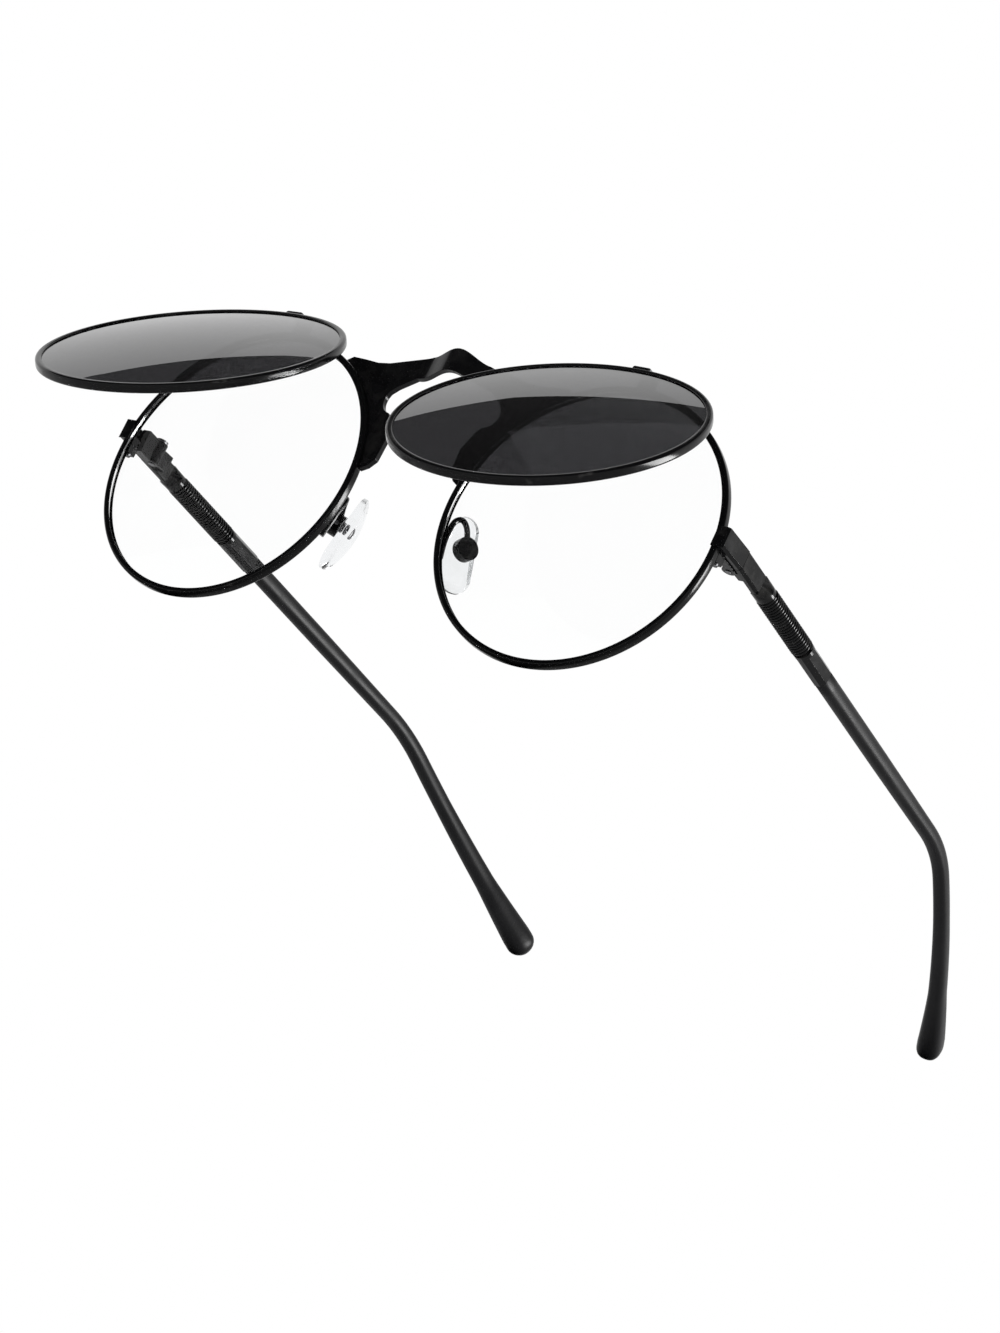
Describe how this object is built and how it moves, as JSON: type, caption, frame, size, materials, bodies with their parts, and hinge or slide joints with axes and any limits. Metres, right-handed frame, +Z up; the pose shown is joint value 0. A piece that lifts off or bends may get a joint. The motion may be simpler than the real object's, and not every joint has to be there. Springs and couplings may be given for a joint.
{
  "type": "flip up sunglasses",
  "caption": "Round wire-rimmed glasses with clear lenses, tinted lenses that flip up on small top hinges, a flat nose bridge, adjustable nose pads and hinged temples with a wire coil and bent sleeves.",
  "frame": {"origin": "On the table plane that the rims and the temple tips rest on, on the front frame's middle plane, halfway between the open flip frames' front edges and the temple tips.", "axes": "+X to the wearer's left, +Y from the lenses back towards the ears, +Z up."},
  "size_m": [0.1283, 0.1804, 0.0547],
  "materials": {
    "black_frame": "gloss black lacquer over thin metal",
    "steel_screw": "blackened steel screws and pins",
    "grey_sleeve": "satin dark grey plastic sleeves",
    "clear_lens": "polished clear plastic lenses",
    "tinted_lens": "polished dark grey lenses, lighter towards the top",
    "clear_pad": "soft clear silicone"
  },
  "bodies": {
    "front": {"left_rim": "black_frame", "right_rim": "black_frame", "left_clear_lens": "clear_lens", "right_clear_lens": "clear_lens", "bridge": "black_frame", "left_end_piece": "black_frame", "right_end_piece": "black_frame", "left_rim_screw": "steel_screw", "right_rim_screw": "steel_screw", "left_front_hinge": "black_frame", "right_front_hinge": "black_frame", "left_hinge_screw": "steel_screw", "right_hinge_screw": "steel_screw", "left_pad_arm": "black_frame", "right_pad_arm": "black_frame", "left_pad_screw": "steel_screw", "right_pad_screw": "steel_screw", "left_flip_bracket": "black_frame", "right_flip_bracket": "black_frame", "left_flip_pin": "steel_screw", "right_flip_pin": "steel_screw"},
    "left_flip": {"left_flip_knuckle": "black_frame", "left_flip_ring": "black_frame", "left_tinted_lens": "tinted_lens"},
    "right_flip": {"right_flip_knuckle": "black_frame", "right_flip_ring": "black_frame", "right_tinted_lens": "tinted_lens"},
    "left_temple": {"left_temple_bar": "black_frame", "left_temple_hinge": "black_frame", "left_coil": "black_frame", "left_ferrule": "black_frame", "left_temple_sleeve": "grey_sleeve"},
    "right_temple": {"right_temple_bar": "black_frame", "right_temple_hinge": "black_frame", "right_coil": "black_frame", "right_ferrule": "black_frame", "right_temple_sleeve": "grey_sleeve"},
    "left_pad": {"left_nose_pad": "clear_pad"},
    "right_pad": {"right_nose_pad": "clear_pad"}
  },
  "joints": [
    {"name": "left_flip_hinge", "type": "hinge", "parent": "front", "child": "left_flip", "pos_m": [0.03635, -0.053, 0.05382], "axis": [-0.9991, -0.0419, 0], "range_deg": [-39.7, 54.3]},
    {"name": "left_temple_hinge", "type": "hinge", "parent": "front", "child": "left_temple", "pos_m": [0.0606, -0.0414, 0.02892], "axis": [0, 0, 1], "range_deg": [-0.1, 88.4]},
    {"name": "left_pad_rock", "type": "hinge", "parent": "front", "child": "left_pad", "pos_m": [0.0135, -0.0452, 0.02022], "axis": [-0.4608, -0.8829, -0.0896], "range_deg": [-7, 7]},
    {"name": "right_flip_hinge", "type": "hinge", "parent": "front", "child": "right_flip", "pos_m": [-0.03635, -0.053, 0.05382], "axis": [-0.9991, 0.0419, 0], "range_deg": [-44.2, 49.8]},
    {"name": "right_temple_hinge", "type": "hinge", "parent": "front", "child": "right_temple", "pos_m": [-0.0606, -0.0414, 0.02892], "axis": [0, 0, -1], "range_deg": [-6.4, 74.1]},
    {"name": "right_pad_rock", "type": "hinge", "parent": "front", "child": "right_pad", "pos_m": [-0.0135, -0.0452, 0.02022], "axis": [0.4608, -0.8829, -0.0896], "range_deg": [-7, 7]}
  ]
}
